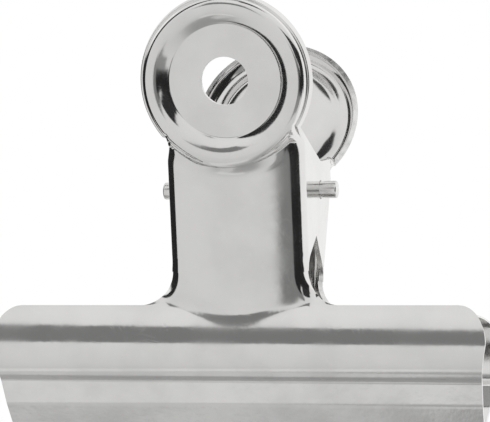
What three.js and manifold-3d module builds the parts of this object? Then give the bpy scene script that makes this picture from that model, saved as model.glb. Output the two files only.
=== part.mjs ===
// Large spring clip for paper: two identical pressed-steel jaw plates, hinged on a pin
// that runs through their ears, and held shut by a coiled wire spring inside the neck.
// Millimetres. X runs along the jaws, -Y towards the front plate, +Z up.
// The origin is the middle of the closed lips' foot.
import * as THREE from 'three';
import { mergeVertices } from 'three/addons/utils/BufferGeometryUtils.js';
import Module from 'manifold-3d';

// Driving dimensions: sheet and hinge
const SHEET = 0.7;
const LIP_GAP = 0.3;
const EAR_GAP = 0.2;
const PIN_RADIUS = 1.3;
const PIN_PROUD = 2.6;
const PIN_EDGE = 0.25;
const PIN_CLEARANCE = 0.1;

// Driving dimensions: jaw, with reaches measured outwards from the middle plane
const JAW_WIDTH = 75;
const STEP_INSET = 0.8;
const LIP_INSET = 1.3;
const JAW_TOP = 19.55;
const JAW_TOP_REACH = 7.5;
const BULGE_HEIGHT = 13.7;
const BULGE_REACH = 9;
const STEP_HEIGHT = 8.4;
const STEP_REACH = 6.3;
const KNEE_HEIGHT = 5;
const KNEE_REACH = 3.2;
const LIP_HEIGHT = 1.9;
const CORNER_WIDTH = 4.2;

// Driving dimensions: leaning upper plate, with its neck, ears and thumb disc
const CREASE_DROP = 1.85;
const NECK_HEIGHT = 18.25;
const PLATE_TILT = THREE.MathUtils.degToRad(16);
const NECK_WIDTH = 20.9;
const NECK_BEND = 1.9;
const NECK_BOW = 1;
const SHOULDER_RADIUS = 4.6;
const SHOULDER_RISE = 0.7;
const SHOULDER_FLANGE = 2.8;
const EAR_LOBE_RADIUS = 4.1;
const EAR_TOP_SLOPE = THREE.MathUtils.degToRad(27);
const EAR_FOOT_SLOPE = THREE.MathUtils.degToRad(23.5);
const EAR_FOOT_FILLET = 3;
const DISC_RISE = 14.2;
const HOLE_RADIUS = 3.55;
const FACE_RADIUS = 8.5;
const BEAD_HEIGHT = 1.75;
const BEAD_RADIUS = 12.35;
const SKIRT_RADIUS = 13;
const SKIRT_DEPTH = 1.05;

// Driving dimensions: wire spring
const WIRE = 1.4;
const COIL_CLEARANCE = 0.75;
const COIL_TURNS = 7;
const COIL_GAP = 0.55;
const LEG_FOOT = 4;
const LEG_FOOT_RISE = 0.3;
const LEG_CLEARANCE = 0.3;

// Facets: steps of each arc of the plates, and of a full turn of the disc, pin and wire
const JAW_STEPS = 5;
const NECK_STEPS = 6;
const EAR_STEPS = 7;
const CORNER_STEPS = 8;
const DISC_STEPS = 56;
const HOLE_STEPS = 24;
const COIL_STEPS = 8;
const WIRE_SIDES = 5;

// Points nearer than this are one point, and a cutting shape runs this far past what it cuts.
const SAME_POINT = 1e-4;
const CUT_MARGIN = 4;

const wasm = await Module();
wasm.setup();

// Solids and plain vector work

function solidOf(geometry) {
  const bare = geometry.clone();
  bare.deleteAttribute('normal');
  bare.deleteAttribute('uv');
  const merged = mergeVertices(bare, SAME_POINT);
  const vertProperties = new Float32Array(merged.getAttribute('position').array);
  const triVerts = new Uint32Array(merged.getIndex().array);
  const solid = new wasm.Manifold(new wasm.Mesh({ numProp: 3, vertProperties, triVerts }));
  return solid;
}

function geometryOf(solid) {
  const mesh = solid.getMesh();
  const geometry = new THREE.BufferGeometry();
  geometry.setAttribute('position', new THREE.Float32BufferAttribute(mesh.vertProperties, 3));
  geometry.setIndex(Array.from(mesh.triVerts));
  geometry.computeVertexNormals();
  return geometry;
}

function unit(x, y) {
  return new THREE.Vector2(x, y).normalize();
}

// The points of a path, without the doubles where one stretch meets the next.
function trace(path, steps) {
  const points = path.getPoints(steps);
  return points.filter((point, i) => i === 0 || point.distanceTo(points[i - 1]) > SAME_POINT);
}

// A copy of an open path, moved to its left by a distance, with mitred corners.
function offsetPath(points, distance) {
  return points.map((point, i) => {
    const before = points[Math.max(i - 1, 0)];
    const after = points[Math.min(i + 1, points.length - 1)];
    const into = i > 0 ? unit(point.x - before.x, point.y - before.y) : null;
    const out = i < points.length - 1 ? unit(after.x - point.x, after.y - point.y) : null;
    const first = into ?? out;
    const second = out ?? into;
    const normal = unit(-first.y - second.y, first.x + second.x);
    const reach = distance / normal.dot(new THREE.Vector2(-first.y, first.x));
    return new THREE.Vector2(point.x + normal.x * reach, point.y + normal.y * reach);
  });
}

// The closed outline of a sheet whose outer face follows an open path.
function sheetOutline(points, thickness) {
  return [...points, ...offsetPath(points, thickness).reverse()];
}

// An extrusion whose sketch axes and direction are given as world axes.
function extrude(points, right, up, start, end) {
  const geometry = new THREE.ExtrudeGeometry(new THREE.Shape(points), {
    depth: end - start,
    bevelEnabled: false,
  });
  geometry.translate(0, 0, start);
  const along = new THREE.Vector3().crossVectors(right, up);
  geometry.applyMatrix4(new THREE.Matrix4().makeBasis(right, up, along));
  return solidOf(geometry);
}

const AXIS_X = new THREE.Vector3(1, 0, 0);
const AXIS_Y = new THREE.Vector3(0, 1, 0);
const AXIS_Z = new THREE.Vector3(0, 0, 1);
const OUTWARD = new THREE.Vector3(0, -1, 0);

// Values that follow from the driving dimensions

const TILT_COS = Math.cos(PLATE_TILT);
const TILT_SIN = Math.sin(PLATE_TILT);
const EAR_STAGGER = (SHEET + EAR_GAP) / 2;
const EAR_FACE = NECK_WIDTH / 2;
const PIN_HEIGHT = JAW_TOP + NECK_HEIGHT;
const PIN_LENGTH = NECK_WIDTH + 2 * EAR_STAGGER + 2 * PIN_PROUD;
const COIL_RADIUS = PIN_RADIUS + COIL_CLEARANCE + WIRE / 2;
const COIL_PITCH = WIRE + COIL_GAP;

// Radius of a bulge arc that stands upright at the crest and ends at a given drop and inset.
function bulgeRadius(drop, inset) {
  return (drop * drop + inset * inset) / (2 * inset);
}

const UPPER_RADIUS = bulgeRadius(JAW_TOP - BULGE_HEIGHT, BULGE_REACH - JAW_TOP_REACH);
const LOWER_RADIUS = bulgeRadius(BULGE_HEIGHT - STEP_HEIGHT, BULGE_REACH - STEP_REACH);

// The plate's face leaves the jaw at the crease, and leans out from there to the pin's height.
const CREASE_HEIGHT = JAW_TOP - CREASE_DROP;
const CREASE_REACH = BULGE_REACH - UPPER_RADIUS
  + Math.sqrt(UPPER_RADIUS ** 2 - (CREASE_HEIGHT - BULGE_HEIGHT) ** 2);
const PLATE_REACH = CREASE_REACH + (PIN_HEIGHT - CREASE_HEIGHT) * Math.tan(PLATE_TILT);

// The pin's axis in the leaning plate's own frame: depth behind its face, and rise along it.
const PIN_DEPTH = PLATE_REACH * TILT_COS;
const PIN_RISE = -PLATE_REACH * TILT_SIN;

// Depth and rise, in the leaning plate's frame, of a point given by its reach and height.
function onPlate(reach, height) {
  const back = PLATE_REACH - reach;
  const up = height - PIN_HEIGHT;
  return new THREE.Vector2(back * TILT_COS + up * TILT_SIN, up * TILT_COS - back * TILT_SIN);
}

// Jaw: a bulged strip with two creases above a flat gripping lip

function jawOuterPath() {
  const upperAngle = Math.asin((JAW_TOP - BULGE_HEIGHT) / UPPER_RADIUS);
  const lowerAngle = Math.asin((BULGE_HEIGHT - STEP_HEIGHT) / LOWER_RADIUS);
  const lipReach = LIP_GAP / 2 + SHEET;
  const path = new THREE.Path();
  path.moveTo(JAW_TOP_REACH + SHOULDER_RISE, JAW_TOP + SHOULDER_RADIUS);
  path.lineTo(JAW_TOP_REACH, JAW_TOP);
  path.absarc(BULGE_REACH - UPPER_RADIUS, BULGE_HEIGHT, UPPER_RADIUS, upperAngle, 0, true);
  path.absarc(BULGE_REACH - LOWER_RADIUS, BULGE_HEIGHT, LOWER_RADIUS, 0, -lowerAngle, true);
  path.lineTo(KNEE_REACH, KNEE_HEIGHT);
  path.lineTo(lipReach, LIP_HEIGHT);
  path.lineTo(lipReach, 0);
  return trace(path, JAW_STEPS);
}

// Front view of one half of the jaw, from the foot to the top edge, and its shoulder.
function jawFrontOutline() {
  const halfOutline = (shift) => {
    const path = new THREE.Path();
    path.moveTo(JAW_WIDTH / 2 - LIP_INSET, -CUT_MARGIN);
    path.lineTo(JAW_WIDTH / 2 - LIP_INSET, 0);
    path.lineTo(JAW_WIDTH / 2 - STEP_INSET, STEP_HEIGHT);
    path.lineTo(JAW_WIDTH / 2, BULGE_HEIGHT);
    path.absellipse(
      JAW_WIDTH / 2 - CORNER_WIDTH, BULGE_HEIGHT,
      CORNER_WIDTH, JAW_TOP - BULGE_HEIGHT, 0, Math.PI / 2, false,
    );
    path.absarc(
      EAR_FACE + shift + SHOULDER_RADIUS, JAW_TOP + SHOULDER_RADIUS,
      SHOULDER_RADIUS, -Math.PI / 2, -Math.PI, true,
    );
    return trace(path, CORNER_STEPS);
  };
  const right = halfOutline(EAR_STAGGER);
  const left = halfOutline(-EAR_STAGGER).map((point) => new THREE.Vector2(-point.x, point.y));
  return [...right, ...left.reverse()];
}

// Shoulder flanges: the sheet's edge, turned back along the curve from the neck into the jaw.
// They are as deep as the ears' foot at the top, and fade to the bare sheet at the jaw's edge.
function shoulderFlange(side) {
  const centreX = EAR_FACE + side * EAR_STAGGER + SHOULDER_RADIUS;
  const centreZ = JAW_TOP + SHOULDER_RADIUS;
  const band = new THREE.Path();
  band.absarc(centreX, centreZ, SHOULDER_RADIUS, -Math.PI, -Math.PI / 2, false);
  band.absarc(centreX, centreZ, SHOULDER_RADIUS + SHEET, -Math.PI / 2, -Math.PI, true);
  const outline = trace(band, CORNER_STEPS).map((point) => new THREE.Vector2(side * point.x, point.y));
  const wall = extrude(outline, AXIS_X, AXIS_Z, 0, PLATE_REACH);
  const plateAtTop = PLATE_REACH - (PIN_HEIGHT - centreZ) * Math.tan(PLATE_TILT);
  const depth = [
    new THREE.Vector2(JAW_TOP_REACH + SHOULDER_RISE, centreZ),
    new THREE.Vector2(plateAtTop - SHOULDER_FLANGE / TILT_COS, centreZ),
    new THREE.Vector2(JAW_TOP_REACH - SHEET, JAW_TOP - SHEET),
    new THREE.Vector2(JAW_TOP_REACH, JAW_TOP - SHEET),
    new THREE.Vector2(JAW_TOP_REACH, JAW_TOP),
  ];
  return wall.intersect(extrude(depth, OUTWARD, AXIS_Z, -JAW_WIDTH, JAW_WIDTH));
}

// Neck: a bowed panel with a bend along each side, which runs into the ears

function neckOuterPath(depth) {
  const bendCentre = EAR_FACE - NECK_BEND;
  // The bow's radius that puts the start of the bends NECK_BOW behind the panel's middle.
  const bowRadius = (bendCentre * bendCentre + NECK_BOW * NECK_BOW) / (2 * NECK_BOW);
  const bendDepth = bowRadius - Math.sqrt((bowRadius - NECK_BEND) ** 2 - bendCentre ** 2);
  const bowAngle = Math.asin(bendCentre / (bowRadius - NECK_BEND));
  const path = new THREE.Path();
  path.moveTo(-EAR_FACE, depth);
  path.lineTo(-EAR_FACE, bendDepth);
  path.absarc(-bendCentre, bendDepth, NECK_BEND, -Math.PI, -Math.PI / 2 - bowAngle, false);
  path.absarc(0, bowRadius, bowRadius, -Math.PI / 2 - bowAngle, -Math.PI / 2 + bowAngle, false);
  path.absarc(bendCentre, bendDepth, NECK_BEND, -Math.PI / 2 + bowAngle, 0, false);
  path.lineTo(EAR_FACE, depth);
  return trace(path, NECK_STEPS);
}

// Side view of the ear, in depth behind the plate's face and rise along it. Its top edge runs
// from the disc's skirt to the lobe round the pin, and its foot ends in a fillet to the flange.
function earOutline() {
  const topNormal = unit(Math.sin(EAR_TOP_SLOPE), Math.cos(EAR_TOP_SLOPE));
  const footNormal = unit(Math.sin(EAR_FOOT_SLOPE), -Math.cos(EAR_FOOT_SLOPE));
  const pin = new THREE.Vector2(PIN_DEPTH, PIN_RISE);
  const topTangent = pin.clone().addScaledVector(topNormal, EAR_LOBE_RADIUS);
  const footTangent = pin.clone().addScaledVector(footNormal, EAR_LOBE_RADIUS);
  const topStartRise = topTangent.y + (topTangent.x - SKIRT_DEPTH) * Math.tan(EAR_TOP_SLOPE);
  const filletX = SHOULDER_FLANGE + EAR_FOOT_FILLET;
  const footRun = (footTangent.x - filletX + EAR_FOOT_FILLET * footNormal.x) / Math.cos(EAR_FOOT_SLOPE);
  const filletEnd = new THREE.Vector2(
    footTangent.x - footRun * Math.cos(EAR_FOOT_SLOPE),
    footTangent.y - footRun * Math.sin(EAR_FOOT_SLOPE),
  );
  const filletCentre = filletEnd.clone().addScaledVector(footNormal, EAR_FOOT_FILLET);
  const path = new THREE.Path();
  path.moveTo(-CUT_MARGIN, DISC_RISE);
  path.lineTo(-CUT_MARGIN, filletCentre.y);
  path.lineTo(SHOULDER_FLANGE, filletCentre.y);
  path.absarc(
    filletCentre.x, filletCentre.y, EAR_FOOT_FILLET,
    Math.PI, Math.PI / 2 + EAR_FOOT_SLOPE, true,
  );
  path.lineTo(footTangent.x, footTangent.y);
  path.absarc(
    pin.x, pin.y, EAR_LOBE_RADIUS,
    -Math.PI / 2 + EAR_FOOT_SLOPE, Math.PI / 2 - EAR_TOP_SLOPE, false,
  );
  path.lineTo(SKIRT_DEPTH, topStartRise);
  path.lineTo(SKIRT_DEPTH, DISC_RISE);
  return trace(path, EAR_STEPS);
}

// Side view of the neck below the ear: a flange's depth, down to the middle of the jaw's sheet.
function neckFootOutline() {
  const jawMiddle = offsetPath(jawOuterPath(), -SHEET / 2);
  const seat = jawMiddle.filter((point) => point.y > BULGE_HEIGHT).map((point) => onPlate(point.x, point.y));
  return [
    new THREE.Vector2(SHOULDER_FLANGE, PIN_RISE),
    new THREE.Vector2(SHOULDER_FLANGE, seat[0].y),
    ...seat,
    new THREE.Vector2(-CUT_MARGIN, seat[seat.length - 1].y),
    new THREE.Vector2(-CUT_MARGIN, PIN_RISE),
  ];
}

// Thumb disc: a flat face round the hanging hole, a rounded bead and a turned-back skirt

function discOuterPath() {
  const beadHalf = (BEAD_RADIUS - FACE_RADIUS) / 2;
  const arcRadius = bulgeRadius(beadHalf, BEAD_HEIGHT);
  const arcAngle = Math.asin(beadHalf / arcRadius);
  const path = new THREE.Path();
  path.moveTo(HOLE_RADIUS, 0);
  path.lineTo(FACE_RADIUS, 0);
  path.absarc(
    FACE_RADIUS + beadHalf, arcRadius - BEAD_HEIGHT, arcRadius,
    -Math.PI / 2 - arcAngle, -Math.PI / 2 + arcAngle, false,
  );
  path.lineTo(SKIRT_RADIUS, SKIRT_DEPTH);
  return trace(path, CORNER_STEPS);
}

function thumbDisc() {
  const outline = sheetOutline(discOuterPath(), SHEET);
  const lathe = new THREE.LatheGeometry([...outline, outline[0]], DISC_STEPS);
  lathe.translate(0, 0, DISC_RISE);
  return solidOf(lathe);
}

// One jaw plate, whole, standing as the front plate

function jawPlate() {
  const toWorld = new THREE.Matrix4()
    .makeTranslation(0, -PLATE_REACH, PIN_HEIGHT)
    .multiply(new THREE.Matrix4().makeRotationX(PLATE_TILT));
  const lean = (solid) => solid.transform(toWorld.elements);
  const earReach = PIN_DEPTH + EAR_LOBE_RADIUS + SHEET;
  const plateFoot = onPlate(JAW_TOP_REACH, STEP_HEIGHT).y;

  const neckPath = neckOuterPath(earReach);
  const stagger = (points) => points.map((point) => new THREE.Vector2(point.x + EAR_STAGGER, point.y));
  const channel = extrude(stagger(sheetOutline(neckPath, SHEET)), AXIS_X, AXIS_Y, plateFoot, DISC_RISE);
  const earCut = extrude(earOutline(), AXIS_Y, AXIS_Z, -JAW_WIDTH / 2, JAW_WIDTH / 2);
  const footCut = extrude(neckFootOutline().reverse(), AXIS_Y, AXIS_Z, -JAW_WIDTH / 2, JAW_WIDTH / 2);
  const discCut = new THREE.CylinderGeometry(
    BEAD_RADIUS - SHEET / 2, BEAD_RADIUS - SHEET / 2, PLATE_REACH, DISC_STEPS,
  );
  discCut.translate(0, 0, DISC_RISE);
  const neck = channel.intersect(earCut.add(footCut)).subtract(solidOf(discCut));
  const hollow = extrude(stagger(offsetPath(neckPath, SHEET)), AXIS_X, AXIS_Y, plateFoot, 0);

  const jawPath = jawOuterPath();
  const strip = extrude(sheetOutline(jawPath, -SHEET), OUTWARD, AXIS_Z, -JAW_WIDTH, JAW_WIDTH);
  const front = extrude(jawFrontOutline(), AXIS_X, AXIS_Z, -PLATE_REACH, PLATE_REACH * 2);
  const jaw = strip.intersect(front).subtract(lean(hollow));

  const pinHole = new THREE.CylinderGeometry(
    PIN_RADIUS + PIN_CLEARANCE, PIN_RADIUS + PIN_CLEARANCE, JAW_WIDTH, HOLE_STEPS,
  );
  pinHole.rotateZ(Math.PI / 2);
  pinHole.translate(0, 0, PIN_HEIGHT);

  const upper = lean(neck.add(thumbDisc()));
  const shoulders = shoulderFlange(1).add(shoulderFlange(-1));
  return geometryOf(upper.add(jaw).add(shoulders).subtract(solidOf(pinHole)));
}

// Hinge pin, with a small bevel at both ends

function hingePin() {
  const half = PIN_LENGTH / 2;
  const pin = new THREE.LatheGeometry([
    new THREE.Vector2(0, -half),
    new THREE.Vector2(PIN_RADIUS - PIN_EDGE, -half),
    new THREE.Vector2(PIN_RADIUS, PIN_EDGE - half),
    new THREE.Vector2(PIN_RADIUS, half - PIN_EDGE),
    new THREE.Vector2(PIN_RADIUS - PIN_EDGE, half),
    new THREE.Vector2(0, half),
  ], HOLE_STEPS);
  pin.rotateZ(Math.PI / 2);
  pin.translate(0, 0, PIN_HEIGHT);
  return geometryOf(solidOf(pin));
}

// Wire spring: a coil round the pin, whose legs run out under it to the two neck panels

function springRoute() {
  const coilHalf = (COIL_TURNS * COIL_PITCH) / 2;
  // The legs' feet lie along the panels' inner faces, which the bow carries back off the middle.
  const panelDepth = NECK_BOW * (coilHalf / (EAR_FACE - NECK_BEND)) ** 2;
  const footDepth = panelDepth + SHEET + LEG_CLEARANCE + WIRE / 2;
  const footPoint = (rise) => new THREE.Vector2(
    footDepth * TILT_COS - rise * TILT_SIN - PLATE_REACH,
    footDepth * TILT_SIN + rise * TILT_COS,
  );
  const knee = footPoint(LEG_FOOT_RISE);
  const tip = footPoint(LEG_FOOT_RISE + LEG_FOOT);
  const kneeAngle = Math.atan2(knee.y, knee.x);
  const touch = kneeAngle + Math.acos(COIL_RADIUS / knee.length());
  const sweep = 2 * Math.PI * COIL_TURNS + 2 * (1.5 * Math.PI - touch);
  const steps = COIL_STEPS * COIL_TURNS + 1;
  const coil = [];
  for (let i = 0; i <= steps; i += 1) {
    const angle = touch + (sweep * i) / steps;
    const along = -coilHalf + (2 * coilHalf * i) / steps;
    coil.push(new THREE.Vector3(along, COIL_RADIUS * Math.cos(angle), COIL_RADIUS * Math.sin(angle)));
  }
  const leg = [tip, knee].map((point) => new THREE.Vector3(-coilHalf, point.x, point.y));
  const farLeg = [knee, tip].map((point) => new THREE.Vector3(coilHalf, -point.x, point.y));
  return [...leg, ...coil, ...farLeg].map((point) => point.add(new THREE.Vector3(0, 0, PIN_HEIGHT)));
}

// A closed tube along a route of points, with its section turned as little as possible.
function wireAlong(route, radius, sides) {
  const tangents = route.map((point, i) => {
    const before = route[Math.max(i - 1, 0)];
    const after = route[Math.min(i + 1, route.length - 1)];
    return new THREE.Vector3().subVectors(after, before).normalize();
  });
  const positions = [];
  let side = new THREE.Vector3(1, 0, 0);
  route.forEach((point, i) => {
    side = side.clone().addScaledVector(tangents[i], -side.dot(tangents[i])).normalize();
    const across = new THREE.Vector3().crossVectors(tangents[i], side);
    for (let k = 0; k < sides; k += 1) {
      const angle = (2 * Math.PI * k) / sides;
      const corner = point.clone()
        .addScaledVector(side, radius * Math.cos(angle))
        .addScaledVector(across, radius * Math.sin(angle));
      positions.push(corner.x, corner.y, corner.z);
    }
  });
  const faces = [];
  for (let i = 0; i < route.length - 1; i += 1) {
    for (let k = 0; k < sides; k += 1) {
      const next = (k + 1) % sides;
      const a = i * sides + k;
      const b = i * sides + next;
      const c = (i + 1) * sides + k;
      const d = (i + 1) * sides + next;
      faces.push(a, b, d, a, d, c);
    }
  }
  const last = (route.length - 1) * sides;
  for (let k = 1; k < sides - 1; k += 1) {
    faces.push(0, k + 1, k);
    faces.push(last, last + k, last + k + 1);
  }
  const geometry = new THREE.BufferGeometry();
  geometry.setAttribute('position', new THREE.Float32BufferAttribute(positions, 3));
  geometry.setIndex(faces);
  geometry.computeVertexNormals();
  return geometry;
}

// The least free gap between stretches of the wire that lie more than half a turn apart.
function leastWireGap(route, wire) {
  let least = Infinity;
  for (let i = 0; i < route.length; i += 1) {
    for (let j = i + COIL_STEPS / 2 + 1; j < route.length; j += 1) {
      least = Math.min(least, route[i].distanceTo(route[j]) - wire);
    }
  }
  return least;
}

function torsionSpring() {
  const route = springRoute();
  console.log(`least gap between the spring's turns: ${leastWireGap(route, WIRE).toFixed(2)} mm`);
  return wireAlong(route, WIRE / 2, WIRE_SIDES);
}

// Materials and assembly

const nickelPlate = new THREE.MeshStandardMaterial({ color: 0xd6d4d0, metalness: 1, roughness: 0.16 });
const pinSteel = new THREE.MeshStandardMaterial({ color: 0xc4c2be, metalness: 1, roughness: 0.25 });
const springSteel = new THREE.MeshStandardMaterial({ color: 0x8f8f8d, metalness: 1, roughness: 0.35 });

function named(name, geometry, material) {
  const mesh = new THREE.Mesh(geometry, material);
  mesh.name = name;
  return mesh;
}

const clip = new THREE.Group();
const plateGeometry = jawPlate();
const frontJaw = named('front_jaw', plateGeometry, nickelPlate);
// The rear plate is the same pressing turned half round, so its right ear lies outside too.
const rearJaw = named('rear_jaw', plateGeometry.clone(), nickelPlate);
rearJaw.rotation.z = Math.PI;
clip.add(frontJaw, rearJaw);
clip.add(named('hinge_pin', hingePin(), pinSteel));
clip.add(named('torsion_spring', torsionSpring(), springSteel));

export default clip;
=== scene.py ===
# Large nickel-plated letter clip: two pressed jaw plates on a hinge pin, with a coiled spring.
# Shapes are worked in millimetres, with +Z up and -Y towards the front plate, and end in metres.
import math

import bmesh
import bpy
from mathutils import Matrix, Vector


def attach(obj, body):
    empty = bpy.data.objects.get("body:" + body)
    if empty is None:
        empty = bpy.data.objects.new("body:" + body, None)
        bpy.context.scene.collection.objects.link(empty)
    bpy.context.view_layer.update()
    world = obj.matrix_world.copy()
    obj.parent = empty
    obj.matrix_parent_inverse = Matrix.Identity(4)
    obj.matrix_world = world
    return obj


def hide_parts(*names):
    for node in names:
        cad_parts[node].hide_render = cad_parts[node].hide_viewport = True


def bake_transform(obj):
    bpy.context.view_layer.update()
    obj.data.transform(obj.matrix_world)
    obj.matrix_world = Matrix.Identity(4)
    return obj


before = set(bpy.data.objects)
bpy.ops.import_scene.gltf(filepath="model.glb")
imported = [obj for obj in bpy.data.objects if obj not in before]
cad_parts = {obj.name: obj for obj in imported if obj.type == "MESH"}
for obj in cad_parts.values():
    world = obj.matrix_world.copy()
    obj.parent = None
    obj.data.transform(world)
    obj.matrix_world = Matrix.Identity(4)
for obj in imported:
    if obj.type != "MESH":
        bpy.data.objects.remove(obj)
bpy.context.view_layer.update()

MM = 0.001

# Sheet and hinge
SHEET = 0.7
EAR_STAGGER = 0.45
PIN_HEIGHT = 37.8
PIN_RADIUS = 1.3
PIN_LENGTH = 27.0
PIN_EDGE = 0.28
PIN_END_BORDER = 0.1
PIN_END_DISH = 0.02
PIN_SHARP_ANGLE = math.radians(40.0)
PIN_HOLE_RADIUS = 1.4

# Jaw strip, with reaches measured outwards from the middle plane
JAW_TOP = 19.55
JAW_TOP_REACH = 7.5
BULGE_HEIGHT = 13.7
BULGE_REACH = 9.0
STEP_HEIGHT = 8.4
STEP_REACH = 6.3
KNEE_HEIGHT = 5.0
KNEE_REACH = 3.85
LIP_HEIGHT = 1.9
LIP_REACH = 0.85
JAW_HALF = 37.5
STEP_INSET = 0.8
LIP_INSET = 1.3
CORNER_WIDTH = 4.2
WEB_ROUNDING = 0.6
STEP_ROUNDING = 0.35
KNEE_ROUNDING = 0.35
LIP_ROUNDING = 0.3

# Leaning upper plate, with its neck and ears
CREASE_HEIGHT = 17.7
PLATE_TILT = math.radians(16.0)
NECK_HALF = 10.45
NECK_BEND = 2.6
NECK_BOW = 0.88
SHOULDER_RADIUS = 4.6
SHOULDER_RISE = 0.7
SHOULDER_FLANGE = 2.8
LOBE_RADIUS = 4.1
EAR_TOP_SLOPE = math.radians(27.0)
EAR_FOOT_SLOPE = math.radians(23.5)
EAR_FOOT_FILLET = 3.0
LEFT_EAR_SLOPE = 6.0

# Thumb disc, by radius from its middle: hole, flat ring, bead and turned-back skirt. Below the
# disc the neck's grid takes over from it at BEAD_SPLIT.
DISC_RISE = 14.2
HOLE_RADIUS = 3.55
FACE_RADIUS = 8.2
BEAD_HEIGHT = 1.27
BEAD_CREST = 11.1
BEAD_DOME = 2.9
BEAD_SHOULDER = 1.25
BEAD_SLOPE = math.tan(math.radians(33.0))
BEAD_WALL_SLOPE = 4.0
BEAD_SPLIT = 11.4
SKIRT_RADIUS = 13.0
SKIRT_DEPTH = 1.05
SKIRT_CORNER = 12.68
SKIRT_SLOPE = SKIRT_DEPTH / (SKIRT_RADIUS - SKIRT_CORNER)

# Apron: in the middle of the neck the bead has no wall, and fades out to this radius.
APRON_RADIUS = 14.7
APRON_OVERLAP = 0.1
APRON_FULL = 11.8
APRON_MIDDLE = 3.0
APRON_SIDE = 9.0
APRON_MARGIN = 3.0

# Fillets of the pressing. The crease's is soft in the middle of the neck and tight at its sides.
BEAD_INNER_FILLET = 0.02
BEAD_OUTER_FILLET = 0.16
BEAD_FILLET_FULL = 12.0
BEAD_DOME_FILLET = 0.06
SKIRT_FILLET = 0.08
SKIRT_NECK_FILLET = 0.3
LEAST_FILLET = 0.01
CREASE_FILLET_MIDDLE = 0.95
CREASE_FILLET_SIDE = 0.6
CREASE_MIDDLE = 2.0
CREASE_SIDE = 9.0
WEB_FADE_START = 11.0
NECK_MARGIN = 1.0

# Mesh steps. Rows of the neck: FINE_ROWS of them lie in FINE_SHARE of its length, next to the bead.
NECK_COLUMNS = 48
NECK_ROWS = 66
RIM_COLUMNS = 28
BEND_COLUMNS = 20
SKIRT_SPOKES = 112
SHOULDER_ROWS = 36
JAW_END_COLUMNS = 24
FACE_STEPS = 5
FACE_MARGIN = 0.2
BEAD_STEPS = 34
SECTION_STEPS = 400
LEAST_BEND = 0.15
STRAIGHT_SHARE = 0.3
PIN_SIDES = 64
PIN_EDGE_STEPS = 6
PIN_HOLE_SIDES = 56
FINE_ROWS = 0.45
FINE_SHARE = 0.17
NECK_CREASE_FOOT = 16.0
STEP_MARGIN = 0.6
CREASE_MARGIN = 0.5
WELD = 0.003

# Shares of the neck's length in which the bead's curve runs out into the neck's own lines
SPREAD_SHARE = 0.25
DROP_SHARE = 0.12
SKIRT_SHARE = 0.24

# Finish of the pressing: the groove behind the bead, and the bevels of the cut edges
GROOVE_INNER = 7.6
GROOVE_OUTER = 12.3
GROOVE_PASSES = 60
CUT_EDGE = 0.06
CUT_EDGE_ANGLE = math.radians(50.0)

# Spring wire
WIRE = 1.4
COIL_RADIUS = 2.75
COIL_TURNS = 7
COIL_PITCH = 1.95
LEG_FOOT = 4.0
LEG_FOOT_RISE = 0.3
LEG_CLEARANCE = 0.3
COIL_STEPS = 40
LEG_SHARES = (0.0, 0.5, 0.94)
LEG_TO_COIL_SHARES = (0.06, 0.35, 0.65, 0.94)

TILT_COS = math.cos(PLATE_TILT)
TILT_SIN = math.sin(PLATE_TILT)
TILT_TAN = math.tan(PLATE_TILT)
NECK_MIDDLE = EAR_STAGGER


def arc_radius(drop, inset):
    """Radius of an arc that starts upright and ends at a drop and an inset from its crest."""
    return (drop * drop + inset * inset) / (2.0 * inset)


UPPER_RADIUS = arc_radius(JAW_TOP - BULGE_HEIGHT, BULGE_REACH - JAW_TOP_REACH)
LOWER_RADIUS = arc_radius(BULGE_HEIGHT - STEP_HEIGHT, BULGE_REACH - STEP_REACH)
CREASE_REACH = BULGE_REACH - UPPER_RADIUS + math.sqrt(
    UPPER_RADIUS**2 - (CREASE_HEIGHT - BULGE_HEIGHT) ** 2
)
PLATE_REACH = CREASE_REACH + (PIN_HEIGHT - CREASE_HEIGHT) * TILT_TAN
PIN_DEPTH = PLATE_REACH * TILT_COS
PIN_RISE = -PLATE_REACH * TILT_SIN

# Bow and bend of the neck: the bend's arc touches the bow's arc from inside.
BEND_CENTRE = NECK_HALF - NECK_BEND
BOW_RADIUS = (BEND_CENTRE**2 + NECK_BOW**2) / (2.0 * NECK_BOW)
BEND_DEPTH = BOW_RADIUS - math.sqrt((BOW_RADIUS - NECK_BEND) ** 2 - BEND_CENTRE**2)
BEND_START = math.asin(BEND_CENTRE / (BOW_RADIUS - NECK_BEND))
FIELD_HALF = BEND_CENTRE + NECK_BEND * math.sin(BEND_START)
RIM_WIDTH = NECK_HALF - FIELD_HALF
BEND_LENGTH = NECK_BEND * (math.pi / 2.0 - BEND_START)

# The ear planes cut the skirt's rim at these angles from straight down.
LEFT_SPOKE = -math.asin((NECK_HALF - NECK_MIDDLE) / SKIRT_RADIUS)
RIGHT_SPOKE = math.asin((NECK_HALF + NECK_MIDDLE) / SKIRT_RADIUS)

SHOULDER_CENTRE = NECK_HALF + SHOULDER_RADIUS
SHOULDER_TOP = JAW_TOP + SHOULDER_RADIUS
STRIP_TOP = JAW_TOP - RIM_WIDTH


def mix(first, second, share):
    return first + (second - first) * share


def ease(value, low, high):
    """0 up to low, 1 from high, and smooth between them."""
    share = min(max((value - low) / (high - low), 0.0), 1.0)
    return share * share * (3.0 - 2.0 * share)


def round_min(first, second, reach):
    """The lesser of two distances, rounded over where they come within reach of each other."""
    near = max(reach - abs(first - second), 0.0) / reach
    return min(first, second) - near * near * reach / 4.0


def round_max(first, second, reach):
    return -round_min(-first, -second, reach)


def crease_rounding(distance, reach, bend):
    """What rounds an inner crease over reach to both sides, where the slope changes by bend."""
    near = max(reach - abs(distance), 0.0)
    return near * near * bend / (4.0 * reach)


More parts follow.
